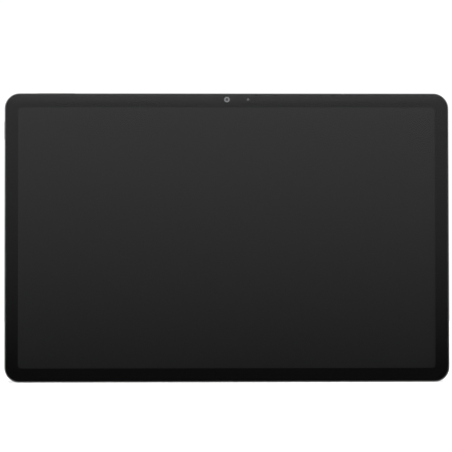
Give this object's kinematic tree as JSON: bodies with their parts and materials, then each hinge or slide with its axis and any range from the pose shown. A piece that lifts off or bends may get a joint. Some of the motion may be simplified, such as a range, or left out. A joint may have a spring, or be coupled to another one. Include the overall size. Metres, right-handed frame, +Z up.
{
  "type": "tablet computer",
  "caption": "Slim slate tablet computer with a glass front, metal frame and back, side keys, card tray, charging socket and a rear camera island.",
  "frame": {"origin": "middle of the long lower edge, on its flat outer face, half way through the frame's thickness", "axes": "+X to the right of a person looking at the screen, +Y from the screen towards the back, +Z up"},
  "size_m": [0.2528, 0.0082, 0.1644],
  "materials": {
    "cover_glass": "polished, clear, slightly rounded front edge",
    "black_ink": "opaque black ink printed on the back of the glass",
    "clear_adhesive": "clear optical adhesive film",
    "black_tape": "thin black adhesive foam tape",
    "display": "switched-off liquid crystal panel, dark grey",
    "light_guide": "milky light guide and films",
    "sheet_steel": "bright rolled stainless sheet",
    "circuit_board": "solder-masked circuit board",
    "flex_circuit": "amber polyimide film",
    "frame_aluminium": "bead-blasted and anodised, satin graphite grey",
    "back_aluminium": "bead-blasted and anodised, satin graphite grey",
    "antenna_plastic": "moulded plastic matched to the metal",
    "cast_plate": "die-cast magnesium alloy, as cast",
    "screw_steel": "dark nickel-plated steel",
    "battery_foil": "laminated battery pouch",
    "chip_black": "moulded black epoxy",
    "graphite": "laminated graphite film",
    "tongue_plastic": "black moulded nylon",
    "gold_contact": "gold-plated contact",
    "tray_aluminium": "bead-blasted and anodised, satin graphite grey",
    "seal_rubber": "soft silicone seal",
    "speaker_plastic": "black moulded speaker box",
    "camera_black": "matt black moulded plastic",
    "camera_ring": "light grey moulded ring",
    "lens_glass": "coated optical glass",
    "flash_phosphor": "yellow phosphor on a white package",
    "flash_diffuser": "ribbed clear flash lens",
    "magnet_nickel": "nickel-plated magnet"
  },
  "bodies": {
    "chassis": {"antenna_strips": "antenna_plastic", "back_adhesive": "black_tape", "back_cover": "back_aluminium", "backlight_unit": "light_guide", "battery_board": "circuit_board", "battery_cell_left": "battery_foil", "battery_cell_right": "battery_foil", "bezel_mask": "black_ink", "board_chips": "chip_black", "board_screws": "screw_steel", "board_shields": "sheet_steel", "button_flex": "flex_circuit", "camera_island": "frame_aluminium", "camera_window": "lens_glass", "camera_window_mask": "black_ink", "card_reader": "sheet_steel", "contact_insulator": "camera_black", "contact_pads": "gold_contact", "cover_glass": "cover_glass", "cover_magnets": "magnet_nickel", "display_adhesive": "black_tape", "display_driver_board": "circuit_board", "display_flex": "flex_circuit", "display_tray": "sheet_steel", "flash_led": "flash_phosphor", "flash_lens": "flash_diffuser", "flash_mount": "circuit_board", "front_camera_lens": "lens_glass", "front_camera_module": "camera_black", "front_camera_ring": "camera_ring", "graphite_sheet": "graphite", "interconnect_flex": "flex_circuit", "lcd_panel": "display", "light_sensor": "chip_black", "main_board": "circuit_board", "microphones": "chip_black", "mid_plate": "cast_plate", "mid_plate_screws": "screw_steel", "optical_adhesive": "clear_adhesive", "power_switch": "chip_black", "rear_camera_module": "camera_black", "side_frame": "frame_aluminium", "speaker_left_lower": "speaker_plastic", "speaker_left_upper": "speaker_plastic", "speaker_meshes": "sheet_steel", "speaker_right_lower": "speaker_plastic", "speaker_right_upper": "speaker_plastic", "sub_board": "circuit_board", "usb_c_contacts": "gold_contact", "usb_c_shell": "sheet_steel", "usb_c_tongue": "tongue_plastic", "volume_switches": "chip_black", "wifi_antennas": "camera_black"},
    "power_button": {"power_button": "frame_aluminium"},
    "volume_rocker": {"volume_rocker": "frame_aluminium"},
    "card_tray": {"card_tray": "tray_aluminium", "tray_gasket": "seal_rubber"},
    "autofocus_lens": {"autofocus_barrel": "camera_black", "rear_lens": "lens_glass"}
  },
  "joints": [
    {"name": "power_button_press", "type": "slide", "parent": "chassis", "child": "power_button", "axis": [1, 0, 0], "range_m": [0, 0.0003], "stiffness_N_per_m": 200},
    {"name": "volume_rocker_tilt", "type": "hinge", "parent": "chassis", "child": "volume_rocker", "pos_m": [-0.097, 0.0004, 0.1604], "axis": [0, 1, 0], "range_deg": [-1.2, 1.2], "stiffness_Nm_per_rad": 0.5},
    {"name": "card_tray_slide", "type": "slide", "parent": "chassis", "child": "card_tray", "axis": [1, 0, 0], "range_m": [0, 0.02]},
    {"name": "autofocus_slide", "type": "slide", "parent": "chassis", "child": "autofocus_lens", "axis": [0, 1, 0], "range_m": [0, 0.0003], "stiffness_N_per_m": 100}
  ]
}
